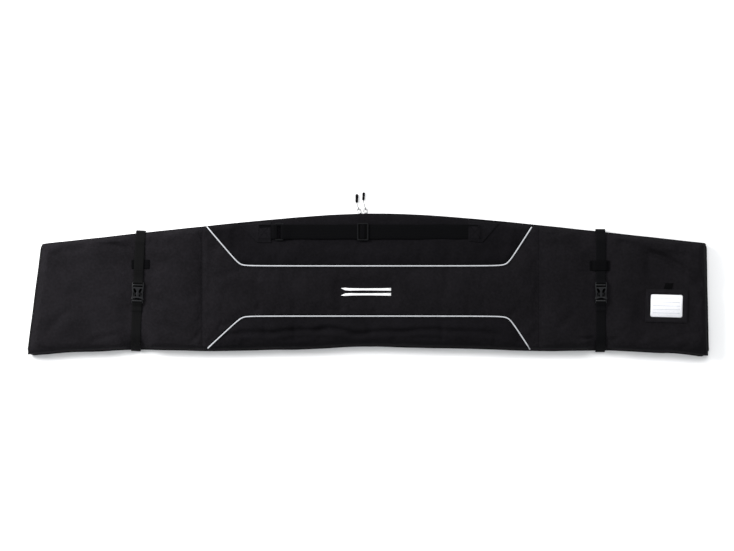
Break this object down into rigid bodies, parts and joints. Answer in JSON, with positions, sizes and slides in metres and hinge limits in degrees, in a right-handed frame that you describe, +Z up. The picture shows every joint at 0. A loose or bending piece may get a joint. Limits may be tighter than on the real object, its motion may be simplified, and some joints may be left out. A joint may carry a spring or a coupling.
{
  "type": "padded ski carry bag",
  "caption": "Long padded ski carry bag lying flat, with an edge zip, webbing handle, buckled compression straps and a card window.",
  "frame": {"origin": "on the floor under the middle of the bag, on the underside of the back panel", "axes": "+X along the length, towards the card window; +Y towards the zip edge; +Z up, out of the front"},
  "size_m": [1.8, 0.4327, 0.0474],
  "materials": {
    "shell_fabric": "matt woven polyester over foam",
    "webbing": "ribbed polyester webbing",
    "hard_plastic": "moulded acetal, fine satin",
    "piping": "light woven piping",
    "print": "flat screen print",
    "zip_metal": "dull nickel plate",
    "coil_plastic": "nylon coil",
    "pull_cord": "braided cord",
    "grip_rubber": "moulded rubber",
    "clear_vinyl": "clear film",
    "card": "uncoated card",
    "vinyl": "fine-grain vinyl"
  },
  "bodies": {
    "bag": {"back_panel": "shell_fabric", "bottom_fold_tape": "shell_fabric", "buckle_left_female": "hard_plastic", "buckle_right_female": "hard_plastic", "card_frame": "vinyl", "card_window": "clear_vinyl", "end_seam_tape_left": "shell_fabric", "end_seam_tape_right": "shell_fabric", "front_panel_centre": "shell_fabric", "front_panel_left": "shell_fabric", "front_panel_lower": "shell_fabric", "front_panel_right": "shell_fabric", "front_panel_upper": "shell_fabric", "handle_patch_left": "shell_fabric", "handle_patch_right": "shell_fabric", "handle_ring_tab": "webbing", "handle_strap_main": "webbing", "handle_strap_return": "webbing", "mark_ski_lower": "print", "mark_ski_upper": "print", "piping_lower": "piping", "piping_upper": "piping", "strap_keeper_left": "webbing", "strap_keeper_right": "webbing", "strap_left_back": "webbing", "strap_left_lower": "webbing", "strap_left_upper": "webbing", "strap_right_back": "webbing", "strap_right_lower": "webbing", "strap_right_upper": "webbing", "zip_coil": "coil_plastic", "zip_end_tab_left": "shell_fabric", "zip_end_tab_right": "shell_fabric", "zip_tape_lower": "shell_fabric", "zip_tape_upper": "shell_fabric"},
    "slider_left": {"zip_slider_left": "zip_metal"},
    "bail_left": {"zip_bail_left": "zip_metal"},
    "pull_left": {"pull_cord_left": "pull_cord", "pull_grip_left": "grip_rubber"},
    "slider_right": {"zip_slider_right": "zip_metal"},
    "bail_right": {"zip_bail_right": "zip_metal"},
    "pull_right": {"pull_cord_right": "pull_cord", "pull_grip_right": "grip_rubber"},
    "plug_left": {"buckle_left_male": "hard_plastic"},
    "latch_left_a": {"buckle_left_prong_a": "hard_plastic"},
    "latch_left_b": {"buckle_left_prong_b": "hard_plastic"},
    "plug_right": {"buckle_right_male": "hard_plastic"},
    "latch_right_a": {"buckle_right_prong_a": "hard_plastic"},
    "latch_right_b": {"buckle_right_prong_b": "hard_plastic"},
    "glide": {"tri_glide": "hard_plastic"},
    "ring": {"handle_ring": "hard_plastic"},
    "card": {"lined_card": "card", "card_pull_tab": "webbing"}
  },
  "joints": [
    {"name": "zip_run_left", "type": "hinge", "parent": "bag", "child": "slider_left", "pos_m": [0.025, -3.579, 0.0115], "axis": [0, 0, 1], "range_deg": [0, 8.1]},
    {"name": "bail_swing_left", "type": "hinge", "parent": "slider_left", "child": "bail_left", "pos_m": [-0.01809, 0.18855, 0.0115], "axis": [0.9999, 0.0114, 0], "range_deg": [0, 100]},
    {"name": "pull_swing_left", "type": "hinge", "parent": "bail_left", "child": "pull_left", "pos_m": [-0.02382, 0.20149, 0.00306], "axis": [0.9999, 0.0114, 0], "range_deg": [0, 40]},
    {"name": "zip_run_right", "type": "hinge", "parent": "bag", "child": "slider_right", "pos_m": [0.025, -3.579, 0.0115], "axis": [0, 0, -1], "range_deg": [0, 8.9]},
    {"name": "bail_swing_right", "type": "hinge", "parent": "slider_right", "child": "bail_right", "pos_m": [-0.00406, 0.18869, 0.0115], "axis": [1, 0.0077, 0], "range_deg": [0, 100]},
    {"name": "pull_swing_right", "type": "hinge", "parent": "bail_right", "child": "pull_right", "pos_m": [-0.00571, 0.20167, 0.00306], "axis": [1, 0.0077, 0], "range_deg": [0, 40]},
    {"name": "buckle_release_left", "type": "slide", "parent": "bag", "child": "plug_left", "axis": [-0.0454, -0.999, 0], "range_m": [0, 0.034], "deforming": ["strap_left_lower"]},
    {"name": "latch_squeeze_left_a", "type": "hinge", "parent": "plug_left", "child": "latch_left_a", "pos_m": [-0.59819, -0.03807, 0.043], "axis": [0, 0, 1], "range_deg": [0, 7], "stiffness_Nm_per_rad": 0.05},
    {"name": "latch_squeeze_left_b", "type": "hinge", "parent": "plug_left", "child": "latch_left_b", "pos_m": [-0.61537, -0.03729, 0.043], "axis": [0, 0, -1], "range_deg": [0, 7], "stiffness_Nm_per_rad": 0.05},
    {"name": "buckle_release_right", "type": "slide", "parent": "bag", "child": "plug_right", "axis": [0, -1, 0], "range_m": [0, 0.034], "deforming": ["strap_right_lower"]},
    {"name": "latch_squeeze_right_a", "type": "hinge", "parent": "plug_right", "child": "latch_right_a", "pos_m": [0.6241, -0.0377, 0.043], "axis": [0, 0, 1], "range_deg": [0, 7], "stiffness_Nm_per_rad": 0.05},
    {"name": "latch_squeeze_right_b", "type": "hinge", "parent": "plug_right", "child": "latch_right_b", "pos_m": [0.6069, -0.0377, 0.043], "axis": [0, 0, -1], "range_deg": [0, 7], "stiffness_Nm_per_rad": 0.05},
    {"name": "handle_adjust", "type": "slide", "parent": "bag", "child": "glide", "axis": [1, 0, 0], "range_m": [-0.12, 0.1], "deforming": ["handle_strap_return"]},
    {"name": "ring_tilt", "type": "hinge", "parent": "bag", "child": "ring", "pos_m": [-0.242, 0.1405, 0.0423], "axis": [0, -1, 0], "range_deg": [0, 20], "deforming": ["handle_strap_main"]},
    {"name": "card_slide", "type": "slide", "parent": "bag", "child": "card", "axis": [0.0262, 0.9997, 0], "range_m": [0, 0.07]}
  ],
  "couplings": [
    {"joint": "latch_squeeze_left_b", "follows": "latch_squeeze_left_a", "ratio": 1},
    {"joint": "latch_squeeze_right_b", "follows": "latch_squeeze_right_a", "ratio": 1}
  ]
}
